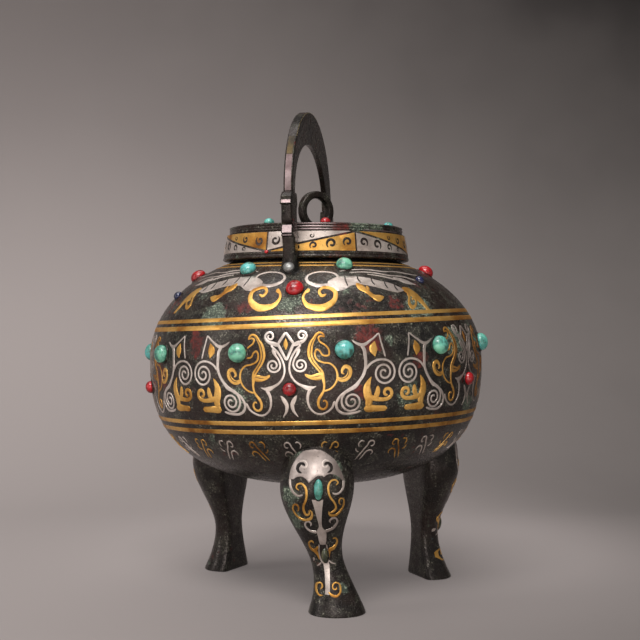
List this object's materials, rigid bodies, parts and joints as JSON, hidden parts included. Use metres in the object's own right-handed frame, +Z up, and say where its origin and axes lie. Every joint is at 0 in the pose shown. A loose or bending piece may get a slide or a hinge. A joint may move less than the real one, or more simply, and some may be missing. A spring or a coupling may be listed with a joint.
{
  "type": "lidded tripod vessel",
  "caption": "Round lidded bronze vessel on three hoofed legs with a fixed crescent handle, ring-knob lid and stone beads set in the wall.",
  "frame": {"origin": "middle of the whole part's box seen from above, in the plane of the three soles; the belly's axis of revolution stands 1.4 mm from it in x and 0.3 mm in y", "axes": "+Z up along the vessel axis; -Y is the front, where one leg and one end of the handle stand; +X is the right seen from the front"},
  "size_m": [0.155, 0.1548, 0.214],
  "materials": {
    "bronze": "dark brown cast bronze with green, blue and red patina, hammered gold and silver inlay",
    "turquoise": "polished turquoise with dark veins",
    "coral": "polished red coral",
    "lapis": "polished dark blue stone",
    "gold": "hammered gold inlay, worn, slightly rough",
    "silver": "hammered silver inlay, worn and faintly tarnished",
    "olive_stone": "polished olive stone"
  },
  "bodies": {
    "vessel": {"belly_turquoise_1_left": "turquoise", "belly_turquoise_1_right": "turquoise", "belly_coral_1": "coral", "belly_turquoise_2_left": "turquoise", "belly_turquoise_2_right": "turquoise", "belly_coral_2": "coral", "belly_turquoise_3_left": "turquoise", "belly_turquoise_3_right": "turquoise", "belly_coral_3": "coral", "belly_turquoise_4_left": "turquoise", "belly_turquoise_4_right": "turquoise", "belly_coral_4": "coral", "belly_turquoise_5_left": "turquoise", "belly_turquoise_5_right": "turquoise", "belly_coral_5": "coral", "shoulder_turquoise_front_left": "turquoise", "shoulder_turquoise_front_right": "turquoise", "shoulder_coral_front": "coral", "shoulder_turquoise_back_left": "turquoise", "shoulder_turquoise_back_right": "turquoise", "shoulder_coral_back": "coral", "shoulder_coral_left": "coral", "shoulder_coral_right": "coral", "shoulder_lapis_1": "lapis", "shoulder_lapis_2": "lapis", "shoulder_lapis_3": "lapis", "shoulder_lapis_4": "lapis", "vessel_body": "bronze", "front_leg_eye_stone": "turquoise", "front_leg_shin_stone": "olive_stone", "front_leg": "bronze", "right_leg_eye_stone": "turquoise", "right_leg_shin_stone": "olive_stone", "right_leg": "bronze", "left_leg_eye_stone": "turquoise", "left_leg_shin_stone": "olive_stone", "left_leg": "bronze", "handle_bail": "bronze", "post_rivet_front": "bronze", "handle_post_front": "bronze", "post_rivet_back": "bronze", "handle_post_back": "bronze"},
    "lid": {"lid_turquoise_1": "turquoise", "lid_coral_1": "coral", "lid_turquoise_2": "turquoise", "lid_coral_2": "coral", "lid_turquoise_3": "turquoise", "lid_coral_3": "coral", "lid": "bronze", "ring_knob": "bronze"}
  },
  "joints": [
    {"name": "lid_lift", "type": "slide", "parent": "vessel", "child": "lid", "axis": [0, 0, 1], "range_m": [0, 0.016]}
  ]
}
